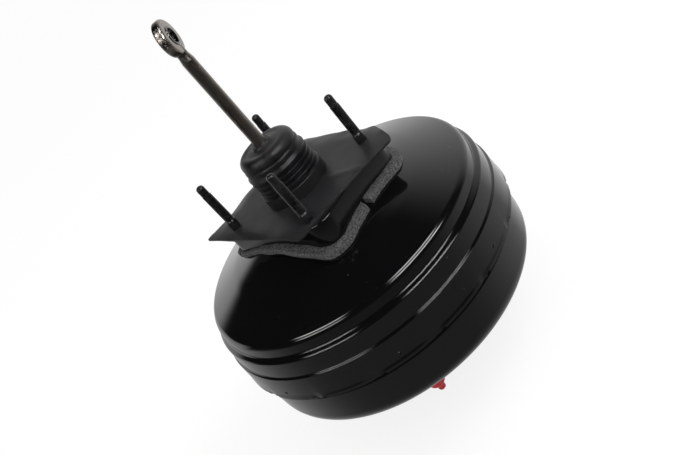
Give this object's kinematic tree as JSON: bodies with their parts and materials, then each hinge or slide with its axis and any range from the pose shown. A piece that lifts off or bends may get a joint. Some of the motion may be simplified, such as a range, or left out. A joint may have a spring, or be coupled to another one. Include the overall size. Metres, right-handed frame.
{
  "type": "brake booster",
  "caption": "Tandem vacuum brake booster: crimped black steel shells, threaded firewall studs on a raised boss, a ribbed dust boot and a push rod with a bushed eye.",
  "frame": {"origin": "centre of the four firewall studs on the face that meets the firewall", "axes": "+Z along the booster axis towards the pedal, +X along the longer side of the stud rectangle"},
  "size_m": [0.276, 0.276, 0.3528],
  "materials": {
    "black_paint": "gloss black enamel over pressed steel",
    "stud_steel": "black phosphate",
    "plate_steel": "bare pressed steel",
    "sheet_rubber": "matte sheet rubber",
    "grey_foam": "open-cell foam strip",
    "black_rubber": "matte moulded rubber",
    "hub_plastic": "moulded phenolic",
    "bush_steel": "plated steel",
    "valve_plastic": "moulded nylon",
    "rod_steel": "dark phosphated steel with a brown tint",
    "spring_steel": "oiled spring wire",
    "filter_felt": "pressed felt",
    "red_plastic": "soft red plastic"
  },
  "bodies": {
    "housing": {"rear_shell": "black_paint", "front_shell": "black_paint", "firewall_studs": "stud_steel", "rear_reinforcement_plate": "plate_steel", "firewall_gasket": "sheet_rubber", "foam_seal_front": "grey_foam", "foam_seal_back": "grey_foam", "neck_seal": "black_rubber", "neck_seal_retainer": "plate_steel", "front_reinforcement_plate": "plate_steel", "master_cylinder_studs": "stud_steel", "divider_plate": "plate_steel", "divider_seal": "black_rubber", "valve_grommet": "black_rubber", "main_return_spring": "spring_steel", "dust_boot": "black_rubber"},
    "power_piston": {"valve_body": "hub_plastic", "stop_key": "plate_steel", "rear_piston_plate": "plate_steel", "front_piston_plate": "plate_steel", "piston_retaining_ring": "plate_steel", "poppet_valve": "black_rubber", "poppet_cup": "plate_steel", "poppet_spring": "spring_steel", "input_return_spring": "spring_steel", "silencer": "filter_felt", "air_filter": "filter_felt", "reaction_disc": "black_rubber", "output_rod": "bush_steel", "output_rod_clip": "plate_steel", "rear_diaphragm": "black_rubber", "front_diaphragm": "black_rubber"},
    "plunger": {"air_valve_plunger": "bush_steel"},
    "ball_ring": {"ball_retainer": "valve_plastic"},
    "input_rod": {"input_rod": "rod_steel", "eye_bush": "bush_steel"},
    "check_valve": {"check_valve_body": "valve_plastic", "check_valve_spring": "spring_steel"},
    "valve_disc": {"check_valve_disc": "black_rubber"},
    "transport_cap": {"transport_cap": "red_plastic"}
  },
  "joints": [
    {"name": "power_piston_slide", "type": "slide", "parent": "housing", "child": "power_piston", "axis": [0, 0, -1], "range_m": [0, 0.03], "stiffness_N_per_m": 5000, "springref_m": -0.024, "deforming": ["dust_boot", "main_return_spring", "rear_diaphragm", "front_diaphragm"]},
    {"name": "air_valve_slide", "type": "slide", "parent": "power_piston", "child": "plunger", "axis": [0, 0, -1], "range_m": [0, 0.0018], "stiffness_N_per_m": 3000, "springref_m": -0.015, "deforming": ["input_return_spring"]},
    {"name": "input_rod_spin", "type": "hinge", "parent": "plunger", "child": "ball_ring", "pos_m": [0, 0, -0.036], "axis": [0, 0, 1], "continuous": true},
    {"name": "input_rod_tilt", "type": "hinge", "parent": "ball_ring", "child": "input_rod", "pos_m": [0, 0, -0.036], "axis": [0.7771, 0.6293, 0], "range_deg": [-2.3, 2.3], "stiffness_Nm_per_rad": 2},
    {"name": "check_valve_swivel", "type": "hinge", "parent": "housing", "child": "check_valve", "pos_m": [0.07022, -0.06663, -0.146], "axis": [0, 0, 1], "continuous": true},
    {"name": "check_valve_disc_slide", "type": "slide", "parent": "check_valve", "child": "valve_disc", "axis": [0, 0, -1], "range_m": [0, 0.0015], "stiffness_N_per_m": 100, "springref_m": -0.003, "deforming": ["check_valve_spring"]},
    {"name": "transport_cap_pull", "type": "slide", "parent": "check_valve", "child": "transport_cap", "axis": [0, 0, -1], "range_m": [0, 0.02]}
  ]
}
